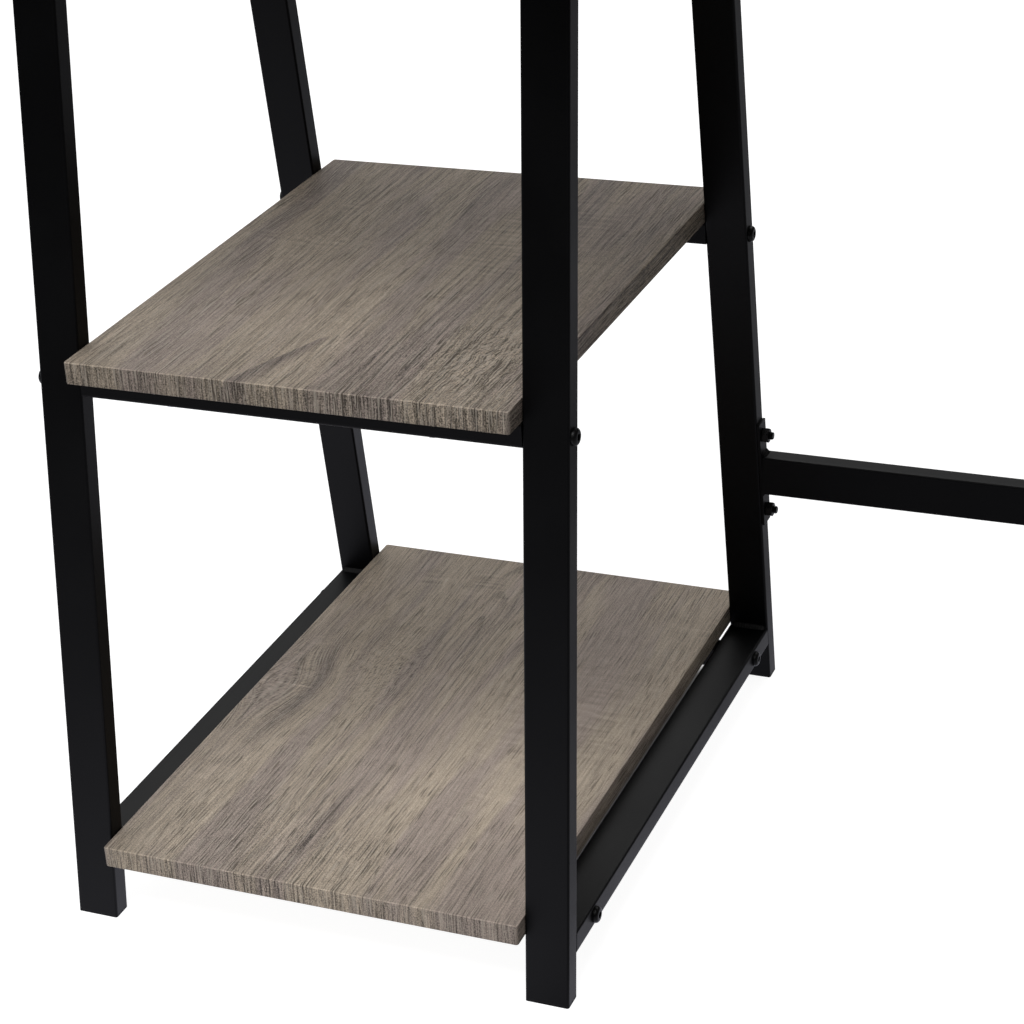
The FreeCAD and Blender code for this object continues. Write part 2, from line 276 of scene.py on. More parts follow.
def use_group(tree, group, **values):
    """Place a group and feed its named inputs; an underscore in a keyword stands for a space."""
    node = tree.nodes.new("ShaderNodeGroup")
    node.node_tree = group
    for title, value in values.items():
        feed(node.inputs[title.replace("_", " ")], value)
    return node.outputs


def start_material(name, **constants):
    """A material, its tree and its Principled shader, with constants set on the shader itself."""
    material = bpy.data.materials.new(name)
    material.use_nodes = True
    shader = material.node_tree.nodes["Principled BSDF"]
    for title, value in constants.items():
        shader.inputs[title.replace("_", " ")].default_value = value
    return material, material.node_tree, shader


def dress_shader(shader, color, roughness, height, depth, strength):
    """Feed colour, roughness and a height to the shader; full height stands depth metres proud."""
    bump = shader.id_data.nodes.new("ShaderNodeBump")
    for title, value in (("Strength", strength), ("Distance", depth), ("Height", height)):
        feed(bump.inputs[title], value)
    normal = bump.outputs["Normal"]
    for title, value in (("Base Color", color), ("Roughness", roughness), ("Normal", normal)):
        feed(shader.inputs[title], value)


def read_mask(tree, title):
    """A mask that the mesh carries as a point attribute."""
    return place(tree, "Attribute", attribute_name=title)["Fac"]


print("group and material helpers ready")

# %% [markdown]
# ## Grain that is long one way
#
# Everything in wood is drawn out along the tree: fibres, pores, streaks and bands. So one group makes
# noise whose lumps are thin across the grain and long along it. It reads a grain vector in metres,
# where X is across the grain, Y is along it and Z tells boards apart. All layers of the oak use it.

# %% The long grain group
long_grain, source, outlet = start_group(
    "long grain", {"Vector": "Grain", "Float": "Across Along Layer Detail"}, {"Float": "Value"}
)
stretch = place(long_grain, "CombineXYZ", source["Across"], source["Along"], 1.0)[0]
drawn = place(long_grain, "VectorMath", source["Grain"], stretch, operation="MULTIPLY")[0]
shift = place(long_grain, "CombineXYZ", 0.0, 0.0, source["Layer"])[0]
moved = place(long_grain, "VectorMath", drawn, shift, operation="ADD")[0]
feed(outlet["Value"], noise(moved, 1.0, source["Detail"]))


def grain_noise(vector, width_mm, length_mm, layer, detail=2.0):
    """Noise whose lumps have this width and length in millimetres; each layer is another draw."""
    values = {"Across": 1 / (width_mm * MM), "Along": 1 / (length_mm * MM), "Layer": 7.3 * layer}
    return use_group(vector.id_data, long_grain, Grain=vector, Detail=detail, **values)["Value"]


def grain_sway(vector, width_mm, length_mm, layer, detail=2.0):
    """The same noise, to both sides of zero."""
    return calc("SUBTRACT", grain_noise(vector, width_mm, length_mm, layer, detail), 0.5)


print("group:", long_grain.name)

# %% [markdown]
# ## Grey oak film
#
# The boards are wrapped in a printed and pressed film that imitates grey, limed oak. It could be a
# scanned picture, but a picture repeats and holds no relief. Worked out as a group it is sharp at any
# distance, and each board can have its own cut. The first cell bends the grain: fibres wander a
# little everywhere, run wild in the patch that Strokes places, and part round a knot as water parts
# round a stone.

# %% Oak film: bent grain
oak_film, source, outlet = start_group(
    "grey oak film",
    {"Vector": "Grain Heart Knot Streak Saw Strokes Press Tone", "Float": "Light Board Edge Arris"},
    {"Color": "Color", "Float": "Roughness Height"},
)


def hill(across, along):
    """A soft hill about zero: exp(-across^2 - along^2)."""
    return calc("EXPONENT", product(squares(across, along), -1.0))


def oval_mask(centre, width_mm, length_mm):
    """A soft oval hill about a centre, and the way from the centre to each point."""
    away = place(oak_film, "VectorMath", source["Grain"], centre, operation="SUBTRACT")[0]
    parts = parts_of(away)
    across = calc("DIVIDE", parts[0], width_mm * MM)
    along = calc("DIVIDE", parts[1], length_mm * MM)
    return hill(across, along), parts


def patch(centre, width_mm, length_mm):
    """An oval hill as high as the third number of its centre."""
    height = parts_of(centre)[2]
    return product(oval_mask(centre, width_mm, length_mm)[0], height)


flat_parts = parts_of(source["Grain"])
straight = place(oak_film, "CombineXYZ", flat_parts[0], flat_parts[1], source["Board"])[0]
knot_at = parts_of(source["Knot"])
knot_hill, from_knot = oval_mask(source["Knot"], 36, 46)
knot = product(knot_hill, knot_at[2])
stroke_hill = patch(source["Strokes"], 34, 58)
wild = product(stroke_hill, grain_sway(straight, 10, 20, 19))
across = add_up(flat_parts[0],
                (grain_sway(straight, 120, 420, 1), 0.016),
                (grain_sway(straight, 22, 90, 2), 0.0025),
                (wild, 0.007),
                (product(from_knot[0], knot), -0.90))
bent = place(oak_film, "CombineXYZ", across, flat_parts[1], source["Board"])[0]
print("bent grain:", len(oak_film.nodes), "nodes")

# %% [markdown]
# A flat-sawn board shows nested arches, because the saw cuts the tree's rings at a slant. The ring
# number at a point is its distance from the heart of the tree, and the heart sinks away along the
# board. Heart gives the heart line's place across the board, its depth and its sink. Where the heart
# lies in the board's face the arches run out into straight lines. In each ring the wood darkens slowly
# and breaks off sharply, no two rings are alike in width, and most of them fade in and out.

# %% Oak film: rings
RING_WIDTH, ARCHES = 6.5 * MM, 3.2
heart = parts_of(source["Heart"])
ring_sway = add_up(across, (grain_sway(straight, 40, 190, 14), 0.008))
ring_x = calc("SUBTRACT", ring_sway, heart[0])
ring_z = largest(calc("MULTIPLY_ADD", flat_parts[1], heart[2], heart[1]), 0.0)
ring_count = calc("DIVIDE", calc("SQRT", squares(ring_x, ring_z)), RING_WIDTH)
ring_phase = calc("FRACT", add_up(ring_count, (grain_sway(bent, 9, 200, 15), 0.8)))
late_wood = window(ring_phase, (0.50, 0.92), (0.93, 1.0))
arches = remap(ring_count, ARCHES, 2 * ARCHES, 1.0, 0.0)
ring_patch = remap(grain_noise(bent, 22, 150, 3), 0.44, 0.62, 0.0, 0.75)
rings = product(late_wood, largest(arches, ring_patch))
print("rings every", RING_WIDTH / MM, "mm")

# %% [markdown]
# Three marks stand alone. The streak is a dark flame with one sharp and one soft side: it opens from
# its tip as a square root does, and leans across the grain by the third number of Streak. The swirl is
# a dark band that bends past the knot, and the crack is a thin pale line across the grain, from the
# side of the board to just past the knot.

# %% Oak film: streak, swirl and crack
STREAK_WIDTH, STREAK_LENGTH = 20 * MM, 78 * MM
SWIRL_OFFSET, SWIRL_WIDTH, SWIRL_LENGTH = 17 * MM, 8 * MM, 85 * MM
CRACK_REACH, CRACK_WIDTH = 34 * MM, 1.8 * MM
streak_at = parts_of(source["Streak"])
streak_along = calc("SUBTRACT", streak_at[1], flat_parts[1])
streak_side = calc("SUBTRACT", across, streak_at[0])
streak_side = calc("MULTIPLY_ADD", streak_along, streak_at[2], streak_side)
streak_share = calc("DIVIDE", largest(streak_along, 1 * MM), STREAK_LENGTH)
streak_open = product(calc("SQRT", streak_share), STREAK_WIDTH)
streak_side = calc("DIVIDE", streak_side, streak_open)
streak = product(
    window(streak_side, (-0.04, 0.06), (0.25, 1.10)),
    window(streak_along, (0.0, 0.10 * STREAK_LENGTH), (STREAK_LENGTH, 1.7 * STREAK_LENGTH)),
)
swirl_side = calc("SUBTRACT", calc("SUBTRACT", across, knot_at[0]), SWIRL_OFFSET)
swirl_side = calc("DIVIDE", swirl_side, SWIRL_WIDTH)
swirl_end = calc("DIVIDE", from_knot[1], SWIRL_LENGTH)
swirl = product(hill(swirl_side, swirl_end), knot_at[2])
crack_side = calc("ABSOLUTE", from_knot[1])
crack = product(remap(crack_side, 0.0, CRACK_WIDTH, 1.0, 0.0),
                remap(from_knot[0], 0.7 * CRACK_REACH, CRACK_REACH, 1.0, 0.0), knot_at[2])
print("streak of", STREAK_LENGTH / MM, "mm, crack to", CRACK_REACH / MM, "mm past the knot")

# %% [markdown]
# Over the rings lie bands of warm and mauve grey, fibres, dark pores with a pale lip, pale fibres and
# long creases. The ripples of a rough saw run across the grain in patches, most of all in the one that
# Saw places: wide, short lumps with a faint, even wave among them. At a knot and in the patch of Strokes
# the fibres break into short slanted strokes. A layer of noise has a width and a length of its own in
# millimetres, so its size can be read off its line.

# %% Oak film: bands, fibres, pores and saw ripples
SAW_RIPPLE, STROKE_SLANT = 8.5 * MM, math.radians(28)
mauve = remap(grain_noise(bent, 27, 300, 4, 3), 0.42, 0.60)
band = grain_sway(bent, 12, 230, 5, 3)
fibre = grain_sway(bent, 1.6, 75, 6, 3)
hair = grain_sway(bent, 0.9, 24, 7, 2)
speck = grain_sway(bent, 0.8, 1.1, 10, 1)
beside = place(oak_film, "VectorMath", bent, (0.9 * MM, 0.4 * MM, 0), operation="ADD")[0]
pore_patch = remap(grain_noise(bent, 16, 60, 8), 0.36, 0.60, 0.35, 1.0)
# Each pore has a lip beside it: raised in the height, and in the colour a painted highlight where light
# catches the rim.
pores, lips_and_glints = (
    product(pore_patch, remap(grain_noise(grain, 1.0, 24, 9, 1), 0.58, 0.65))
    for grain in (bent, beside)
)
pale = remap(grain_noise(bent, 1.0, 28, 16, 1), 0.57, 0.66)
creases = product(remap(grain_noise(bent, 30, 140, 18), 0.42, 0.58),
                  remap(grain_noise(bent, 1.5, 90, 17, 1), 0.62, 0.69))
saw_hill, _ = oval_mask(source["Saw"], 46, 80)
saw_patch = remap(grain_noise(straight, 42, 60, 11), 0.56, 0.74)
saw_patch = largest(saw_hill, saw_patch, product(knot, 0.5))
saw_turn = add_up(0.0, (flat_parts[1], 2 * math.pi / SAW_RIPPLE),
                  (grain_sway(straight, 30, 70, 20, 1), 14.0))
saw_wave = add_up(grain_sway(straight, 34, 5.0, 12, 1), (calc("SINE", saw_turn), 0.07))
saw = product(saw_patch, saw_wave)
slant = place(oak_film, "VectorRotate", straight, None, None, STROKE_SLANT, rotation_type="Z_AXIS")[0]
stroke_patch = largest(knot, stroke_hill)
stroke_noise = grain_noise(slant, 1.4, 6, 13, 1)
strokes = product(stroke_patch, remap(stroke_noise, 0.55, 0.63))
stroke_lips = product(stroke_patch, remap(stroke_noise, 0.36, 0.46, 1.0, 0.0))
print("layers laid:", len(oak_film.nodes), "nodes")

# %% [markdown]
# The layers meet in three outputs. Colour starts from warm and mauve grey; every layer lightens or
# darkens it, then pale fibres and lips draw it to a limed grey and pores to brown. The pale lip beside
# each pore is a painted highlight on its raised rim. A board's base brightness is painted light: the
# lower shelf, which the upper shelf shades, is made lighter, and the upper shelf, which the desktop
# shades, darker. One broad patch of painted light lifts each shelf towards its front. The contrast
# grows on the edge of the board, where the print is stretched over the core, and in the patch that
# Press places, and drops among the saw ripples. The edge is also darkened, a painted shade, and the
# upper bend is lightened, a painted highlight along the arris. Height presses pores, creases and late
# wood into the film, and Roughness dulls the pores.

# %% Oak film: colour and touch
WARM_GREY = (0.266, 0.222, 0.174, 1)
PALE_GREY = (0.372, 0.330, 0.278, 1)
MAUVE_GREY = (0.218, 0.180, 0.155, 1)
PORE_BROWN = (0.070, 0.055, 0.044, 1)
DARKEST, MOST_LIMED, MOST_BROWN = 0.22, 0.6, 0.85
press = patch(source["Press"], 80, 70)
contrast = add_up(1.0, (source["Edge"], 0.50), (press, 1.0), (saw_hill, -0.42))
# A broad patch of painted light that lifts a shelf towards its front.
painted_light_patch = patch(source["Tone"], 130, 160)
fine = add_up(0.0, (fibre, 1.0), (hair, 1.2), (speck, 1.5))
# The board's base brightness is painted light, the edge is darkened as painted shade, and the upper arris
# is lightened as a painted highlight.
light = add_up(source["Light"], (painted_light_patch, 1.0), (band, 0.42), (rings, -0.36), (creases, -0.24),
               (saw, 1.2), (swirl, -0.38), (crack, 0.50), (strokes, -0.46), (streak, -0.36),
               (source["Edge"], -0.17), (source["Arris"], 0.60))
light = largest(calc("MULTIPLY_ADD", fine, contrast, light), DARKEST)
toned = blend(largest(mauve, swirl, streak), WARM_GREY, MAUVE_GREY)
lit = place(oak_film, "VectorMath", toned, None, None, light, operation="SCALE")[0]
# Pale fibres are print; the lips add a painted highlight to the same pale grey.
limed_and_glinted = product(add_up(0.0, (pale, 0.36), (lips_and_glints, 0.30), (stroke_lips, 0.34)), contrast)
limed_and_glinted = blend(calc("MINIMUM", limed_and_glinted, MOST_LIMED), lit, PALE_GREY)
browned = calc("MINIMUM", product(pores, contrast, 0.54), MOST_BROWN)
feed(outlet["Color"], blend(browned, limed_and_glinted, PORE_BROWN))
height = add_up(0.0, (fibre, 0.35), (hair, 0.45), (pores, -0.8), (lips_and_glints, 0.30), (pale, 0.25),
                (rings, -0.20), (creases, -0.50), (saw, 0.6), (strokes, -0.8), (stroke_lips, 0.4))
feed(outlet["Height"], product(height, contrast))
feed(outlet["Roughness"], add_up(0.52, (pores, 0.18), (band, 0.25)))
print("group:", oak_film.name, "with", len(oak_film.nodes), "nodes")

# %% [markdown]
# ## Three boards, three cuts of the print
#
# No two boards show the same stretch of film, so each one gets a material of its own: the same group
# with another heart line, knot, streak and set of patches, all in metres from the middle of the board.
# A third number is the sink of Heart, the lean of Streak, and the strength of Knot, Strokes, Press and
# the patch of painted light. Each board's base brightness is painted light too. The two shelves follow
# the real ones; the desktop's cut is free.

# %% Oak materials
CUTS = {
    "upper_shelf": {
        "Heart": (0.060, -0.012, 0.100), "Knot": (-0.150, 0.110, 0.35), "Streak": (-0.0057, -0.118, 0.386),
        "Saw": (0.060, 0.080, 0), "Strokes": (0.105, -0.125, 1.2), "Press": (0.105, -0.150, 1.1),
        "Tone": (0.0, -0.060, 0.34), "Light": 0.89, "Board": 3.7,
    },
    "lower_shelf": {
        "Heart": (-0.025, -0.0148, 0.148), "Knot": (-0.138, 0.003, 1.0), "Streak": (-0.022, -0.110, 0.05),
        "Saw": (0.092, 0.010, 0), "Strokes": (-0.068, 0.042, 1.0), "Press": (-0.030, -0.190, 0.8),
        "Tone": (0.080, -0.070, 0.60), "Light": 1.11, "Board": 9.2,
    },
    "desktop": {
        "Heart": (0.045, 0.010, 0.090), "Knot": (-0.080, 0.310, 0.8), "Streak": (0.110, -0.260, 0.10),
        "Saw": (-0.120, -0.150, 0), "Strokes": (-0.060, 0.240, 1.0), "Press": (0.150, 0.100, 0.6),
        "Tone": (0.060, -0.100, 0.10), "Light": 1.0, "Board": 15.4,
    },
}
FILM_RELIEF = 0.16 * MM


def oak_material(node, cut):
    """Oak film that follows the board's own unfolded grain map."""
    material, tree, shader = start_material(f"oak_film_{node}", Specular_IOR_Level=0.14)
    grain_map = place(tree, "UVMap", uv_map="grain")[0]
    layers = use_group(tree, oak_film, Grain=grain_map, Edge=read_mask(tree, "edge"),
                       Arris=read_mask(tree, "arris"), **cut)
    dress_shader(shader, layers["Color"], layers["Roughness"], layers["Height"], FILM_RELIEF, 0.80)
    return material


oak = {node: oak_material(node, cut) for node, cut in CUTS.items()}
print("oak:", *(finish.name for finish in oak.values()))

# %% [markdown]
# ## Wrapped boards
#
# A real wrapped board has soft arrises and slightly round corners, and its print runs over the edge
# without a break. So a board is its plan outline carried down a profile: a flat rim, a quarter round,
# the straight edge, and a quarter round underneath. The grain map is the film laid flat again: a
# point's place on the top, plus its way down the edge along the outward direction.

# %% A rounded outline
def rounded_outline(width, depth, radius, steps, rest):
    """Closed outline of a rectangle with round corners, as pivots, outward directions and arc masks.

    Each corner is a quarter circle about its pivot in steps + 1 directions. Before and after it stands
    one more point, slid along the flat by rest, which keeps the flat's shading flat.
    """
    turn = np.linspace(0, math.pi / 2, steps + 1)
    turn = np.concatenate([turn[:1], turn, turn[-1:]])
    slide = np.zeros(len(turn))
    slide[0], slide[-1] = -rest, rest
    angles = (np.arange(4)[:, None] * math.pi / 2 + turn).ravel()
    signs = np.repeat([[1, 1], [-1, 1], [-1, -1], [1, -1]], len(turn), axis=0)
    pivots = signs * np.array([width / 2 - radius, depth / 2 - radius])
    outward = np.stack([np.cos(angles), np.sin(angles)], axis=1)
    along = np.stack([-outward[:, 1], outward[:, 0]], axis=1)
    on_arc = np.tile(slide == 0, 4).astype(float)
    return pivots + along * np.tile(slide, 4)[:, None], outward, on_arc


def board_profile(thickness, arris, rest, steps):
    """Inset, drop, way along the film, edge mask and upper arris highlight mask of a board's side, ring by
    ring.

    From the top's rim the profile turns a quarter circle of the arris radius, drops straight, and
    turns another quarter circle to the underside. The way is the length of that line from the top.
    """
    turn = np.linspace(0, math.pi / 2, steps + 1)
    face = thickness - 2 * arris
    straight = np.array([rest, face - rest])
    insets = np.concatenate([[arris + rest], arris * (1 - np.sin(turn)), [0, 0],
                             arris * (1 - np.cos(turn)), [arris + rest]])
    drops = np.concatenate([[0], arris * (1 - np.cos(turn)), arris + straight,
                            thickness - arris + arris * np.sin(turn), [thickness]])
    bend = arris * turn
    under = bend[-1] + face + bend
    ways = np.concatenate([[-rest], bend, bend[-1] + straight, under, [under[-1] + rest]])
    edge = np.clip(ways / bend[-1], 0, 1)
    arrises = np.zeros(len(ways))
    # The upper arris mask peaks mid-bend; the film's colour is lightened there as a painted highlight.
    arrises[1:steps + 2] = np.sin(2 * turn)
    return insets, drops, ways, edge, arrises


print("outline of a unit square:", len(rounded_outline(1, 1, 0.1, 6, 0.01)[0]), "points")

# %% Boards
BOARD_CORNER, BOARD_ARRIS, BOARD_REST = 2.0 * MM, 0.8 * MM, 0.7 * MM


def make_board(node, material, grain_along_x):
    """A wrapped board that stands for a CAD board."""
    low, high, middle = box_of(node)
    width, depth, thickness = high - low
    pivots, outward, _ = rounded_outline(width, depth, BOARD_CORNER, 10, BOARD_REST)
    insets, drops, ways, edge, arrises = board_profile(thickness, BOARD_ARRIS, BOARD_REST, 5)
    plan = pivots + outward * (BOARD_CORNER - insets)[:, None, None]
    heights = np.broadcast_to((high[2] - drops)[:, None, None], plan.shape[:2] + (1,))
    points, faces = stacked([np.concatenate([plan + middle[:2], heights], axis=2)])
    film = (pivots + outward * (BOARD_CORNER - BOARD_ARRIS + ways)[:, None, None]).reshape(-1, 2)
    under = plan.reshape(-1, 2) * np.array([1, -1]) + np.array([0, 2 * depth])
    loop_points = np.concatenate(faces)
    under_loops = np.arange(len(loop_points)) >= len(loop_points) - len(faces[-1])
    loop_uv = np.where(under_loops[:, None], under[loop_points], film[loop_points])
    if grain_along_x:
        loop_uv = loop_uv[:, ::-1]
    # The edge mask darkens the whole edge as painted shade and raises the print's contrast there; the
    # arris mask lightens the upper bend as a painted highlight.
    masks = {"edge": np.repeat(edge, len(pivots)), "arris": np.repeat(arrises, len(pivots))}
    piece = make_piece("wrapped", node, points, faces, material, "grey_oak_board", masks, loop_uv)
    print(piece.name, (np.array([width, depth, thickness]) / MM).round(1), "mm")


for node, finish in oak.items():
    make_board(node, finish, grain_along_x=node == "desktop")

# %% [markdown]
# ## Black powder coat
#
# The tubes are sprayed with black powder that melts into a satin skin. Close up it has a faint orange
# peel, and it pulls a little thinner over the corners of a tube, where it looks a shade lighter. The
# orange peel is a group, because the plastic plugs and the fasteners use it too at other scales.

# %% The orange peel group and the dark finishes
orange_peel, source, outlet = start_group(
    "orange peel", {"Vector": "Place", "Float": "Lump"}, {"Float": "Height Cloud"}
)
lumps_per_metre = calc("DIVIDE", 1.0, source["Lump"])
feed(outlet["Height"], noise(source["Place"], lumps_per_metre, 2.0, 0.45))
feed(outlet["Cloud"], noise(source["Place"], 14.0, 3.0))


def object_place(tree):
    """A point's own place on the object, in metres."""
    return place(tree, "TexCoord")["Object"]


def dark_finish(name, deep, thin, lump, depth, dullness, specular):
    """Satin dark skin: two close tones, lighter at the corners, orange peel and uneven gloss."""
    material, tree, shader = start_material(name, Specular_IOR_Level=specular)
    skin = use_group(tree, orange_peel, Place=object_place(tree), Lump=lump)
    cloud = remap(skin["Cloud"], 0.35, 0.70, 0.0, 0.45)
    thinness = calc("MULTIPLY_ADD", read_mask(tree, "corner"), 0.5, cloud)
    dull = add_up(dullness - 0.10, (skin["Cloud"], 0.14), (skin["Height"], 0.06))
    dress_shader(shader, blend(thinness, deep, thin), dull, skin["Height"], depth, 0.6)
    return material


powder_coat = dark_finish("satin_black_powder_coat", (0.0009, 0.0009, 0.0011, 1),
                          (0.0022, 0.0022, 0.0026, 1), 1.3 * MM, 0.05 * MM, 0.42, 0.085)
black_oxide = dark_finish("black_oxide_steel", (0.0020, 0.0020, 0.0022, 1),
                          (0.0060, 0.0060, 0.0064, 1), 0.5 * MM, 0.02 * MM, 0.34, 0.12)
black_plastic = dark_finish("moulded_black_plastic", (0.0022, 0.0022, 0.0024, 1),
                            (0.0050, 0.0050, 0.0054, 1), 0.35 * MM, 0.04 * MM, 0.55, 0.10)
print("dark finishes:", powder_coat.name, black_oxide.name, black_plastic.name)

# %% [markdown]
# ## Zinc plating
#
# The wood screws and the threaded blocks are plain plated steel. They hide under the boards and in the
# bars, and only a low view finds the screw heads: bright metal with a fine, uneven bloom.

# %% Zinc
zinc, tree, shader = start_material("bright_zinc_plating", Metallic=1.0)
plated_place = object_place(tree)
bloom = noise(plated_place, 260.0, 3.0)
plated = blend(bloom, (0.50, 0.52, 0.55, 1), (0.68, 0.69, 0.70, 1))
grit = noise(plated_place, 1800.0, 2.0)
dress_shader(shader, plated, remap(grit, 0.3, 0.7, 0.26, 0.46), grit, 0.02 * MM, 0.4)
print("plating:", zinc.name)

# %% [markdown]
# ## Tubes
#
# Every tube is the same idea: a rounded outline carried from one end to the other. The legs keep their
# outline level while it moves along the lean, as a saw cuts them. The lower rails are cut to meet the
# leaning legs, so at each end of a rail the way along Y follows the leg's inner face at each height.

# %% Tube shells
TUBE_CORNER, BAR_CORNER, TUBE_REST = 1.5 * MM, 1.6 * MM, 0.5 * MM


def outline_points(width, depth, radius):
    """Outline of a tube in its own plane, and its corner mask."""
    pivots, outward, on_arc = rounded_outline(width, depth, radius, 6, TUBE_REST)
    return pivots + outward * radius, on_arc


def leg_shell(name, side):
    """Level outlines at the foot and the head of a leg."""
    (foot, size), (head, _) = leg_ends[name, side]
    outline, on_arc = outline_points(size[0], size[1], TUBE_CORNER)
    flat = np.pad(outline, ((0, 0), (0, 1)))
    return np.stack([flat + foot, flat + head]), on_arc


def straight_shell(node, axis, radius):
    """A straight tube that fills a node's box, along the axis with this number."""
    low, high, middle = box_of(node)
    first, second = [number for number in range(3) if number != axis]
    outline, on_arc = outline_points(high[first] - low[first], high[second] - low[second], radius)
    shell = np.empty((2, len(outline), 3))
    shell[:, :, first] = outline[:, 0] + middle[first]
    shell[:, :, second] = outline[:, 1] + middle[second]
    shell[0, :, axis], shell[1, :, axis] = low[axis], high[axis]
    return shell, on_arc


def rail_shell(name):
    """A lower rail whose ends follow the inner faces of its frame's legs."""
    shell, on_arc = straight_shell(f"{name}_lower_rail", 1, TUBE_CORNER)
    for end, side, inward in ((0, "front", 1), (1, "rear", -1)):
        shell[end, :, 1] = leg_middle(name, side, shell[end, :, 2])[:, 1] + inward * leg_size[1] / 2
    return shell, on_arc


def make_tube(node, shell, on_arc):
    """A powder-coated tube that stands for a CAD tube."""
    corner = {"corner": np.tile(on_arc, len(shell))}
    dress("painted", node, [shell], powder_coat, "black_powder_coat", point_values=corner)


for name in FRAMES:
    for side in SIDES:
        make_tube(f"{name}_{side}_leg", *leg_shell(name, side))
    make_tube(f"{name}_lower_rail", *rail_shell(name))
    make_tube(f"{name}_top_rail", *straight_shell(f"{name}_top_rail", 1, TUBE_CORNER))
for level in LEVELS:
    for side in SIDES:
        make_tube(f"{level}_{side}_bar", *straight_shell(f"{level}_{side}_bar", 0, BAR_CORNER))
make_tube("stretcher_tube", *straight_shell("stretcher_tube", 0, TUBE_CORNER))

# %% [markdown]
# ## Stretcher plates
#
# A flat steel plate is welded across each end of the stretcher and bolted to a rear leg. It leans with
# the leg, so it is a thin level outline carried up the leg's middle line, drawn in a little at its two
# ends where the sheared steel has lost its sharp edge.

# %% Plates
PLATE_CORNER, PLATE_END = 0.4 * MM, 0.4 * MM
# Each plate: the frame that it is bolted to, its node, and the way into the knee room along X.
PLATES = (("middle", "stretcher_left_plate", 1), ("right", "stretcher_right_plate", -1))


def plate_shell(node, name):
    """Level outlines of a plate up a rear leg: drawn in at the ends, full between them."""
    low, high, middle = box_of(node)
    outline, on_arc = outline_points(high[0] - low[0], leg_size[1], PLATE_CORNER)
    heights = np.array([low[2], low[2] + PLATE_END, high[2] - PLATE_END, high[2]])
    full = np.array([1 - PLATE_END / leg_size[1], 1, 1, 1 - PLATE_END / leg_size[1]])
    shell = np.empty((4, len(outline), 3))
    shell[:, :, 0] = outline[:, 0] + middle[0]
    shell[:, :, 1] = outline[:, 1] * full[:, None] + leg_middle(name, "rear", heights)[:, 1:2]
    shell[:, :, 2] = heights[:, None]
    return shell, on_arc


for name, node, _ in PLATES:
    make_tube(node, *plate_shell(node, name))
    print(node, "at x", (box_of(node)[2][0] / MM).round(1), "mm")

# %% [markdown]
# ## Weld beads
#
# Welds run along the inside corners where tubes meet. A bead fills the corner, nearly flat across, and
# carries the ripples of its puddle, one for each push of the torch. So its section is a fan between
# the two faces that it joins, and its reach swells and shrinks along the run and fades at both ends.

# %% Beads
RIPPLE, RIPPLE_DEPTH = 2.2 * MM, 0.25 * MM
BEAD_END, BEAD_DRAW, BEAD_ROOT = 0.35, 0.28, 0.3 * MM


def bead_shell(corner, run, first, second, reach):
    """A bead along a corner: at each step of the run a fan of points about the corner.

    The fan turns from the direction of the first face to that of the second. A point's way from the
    corner is reach, rounded off at both ends of the run, less the ripple, and drawn in towards the
    middle of the fan. The fan's last point lies inside the corner.
    """
    steps, spread = 45, 9
    share = np.linspace(0, 1, steps)
    length = np.linalg.norm(run)
    fade = np.clip(np.minimum(share, 1 - share) * length / reach, 0, 1)
    round_fade = BEAD_END + (1 - BEAD_END) * np.sqrt(1 - (1 - fade) ** 2)
    ripple = RIPPLE_DEPTH * (1 - np.cos(share * length / RIPPLE * 2 * math.pi)) / 2
    turn = np.linspace(0, math.pi / 2, spread)
    fan = np.cos(turn)[:, None] * first + np.sin(turn)[:, None] * second
    crown = 1 - BEAD_DRAW * np.sin(2 * turn)
    radius = (reach * round_fade - ripple)[:, None] * crown
    root = np.zeros((steps, 1, 3)) - BEAD_ROOT * (first + second)
    bead = np.concatenate([radius[..., None] * fan, root], axis=1)
    return corner - run / 2 + share[:, None, None] * run + bead


X, Y, Z = np.eye(3)
WELD_REACH = 3.0 * MM
WELD_RUN = leg_size[0] - 2 * TUBE_CORNER


def frame_beads(name):
    """Six beads of a frame: above and below each end of the lower rail, and under the top rail."""
    rail_low, rail_high, _ = box_of(f"{name}_lower_rail")
    top_low = box_of(f"{name}_top_rail")[0]
    beads = []
    for side, inward in (("front", 1), ("rear", -1)):
        up_leg = leg_middle(name, side, 1.0) - leg_middle(name, side, 0.0)
        up_leg = up_leg / np.linalg.norm(up_leg)
        for height, up in ((rail_high[2], 1), (rail_low[2], -1), (top_low[2], -1)):
            corner = leg_middle(name, side, height) + inward * Y * leg_size[1] / 2
            beads.append(bead_shell(corner, X * WELD_RUN, up * up_leg, inward * Y, WELD_REACH))
    return beads


def make_welds(node, beads):
    """Painted beads that stand for a CAD node of welds."""
    dress("rippled", node, beads, powder_coat, "black_powder_coat", sharp=70)
    print(node, "has", len(beads), "beads")


for name in FRAMES:
    make_welds(f"{name}_frame_welds", frame_beads(name))

# %% Stretcher beads
tube_low, tube_high, tube_middle = box_of("stretcher_tube")
stretcher_run = Y * (tube_high[1] - tube_low[1] - 2 * TUBE_CORNER)
beads = []
for end, into_knee in ((tube_low[0], 1), (tube_high[0], -1)):
    for height, up in ((tube_high[2], 1), (tube_low[2], -1)):
        corner = np.array([end, tube_middle[1], height])
        beads.append(bead_shell(corner, stretcher_run, up * Z, into_knee * X, WELD_REACH))
make_welds("stretcher_welds", beads)

# %% [markdown]
# ## Bolts and nuts
#
# Bolts, nuts and screw heads are turned parts: a profile swept round an axis. A hexagon is a turned
# part too, if its radius depends on the angle: flats / 2 over the cosine of the angle from the middle
# of the nearest flat. So one function takes a radius for each ring and angle and makes them all.

# %% Turned shells
AROUND = 48
ANGLES = np.linspace(0, 2 * math.pi, AROUND, endpoint=False)


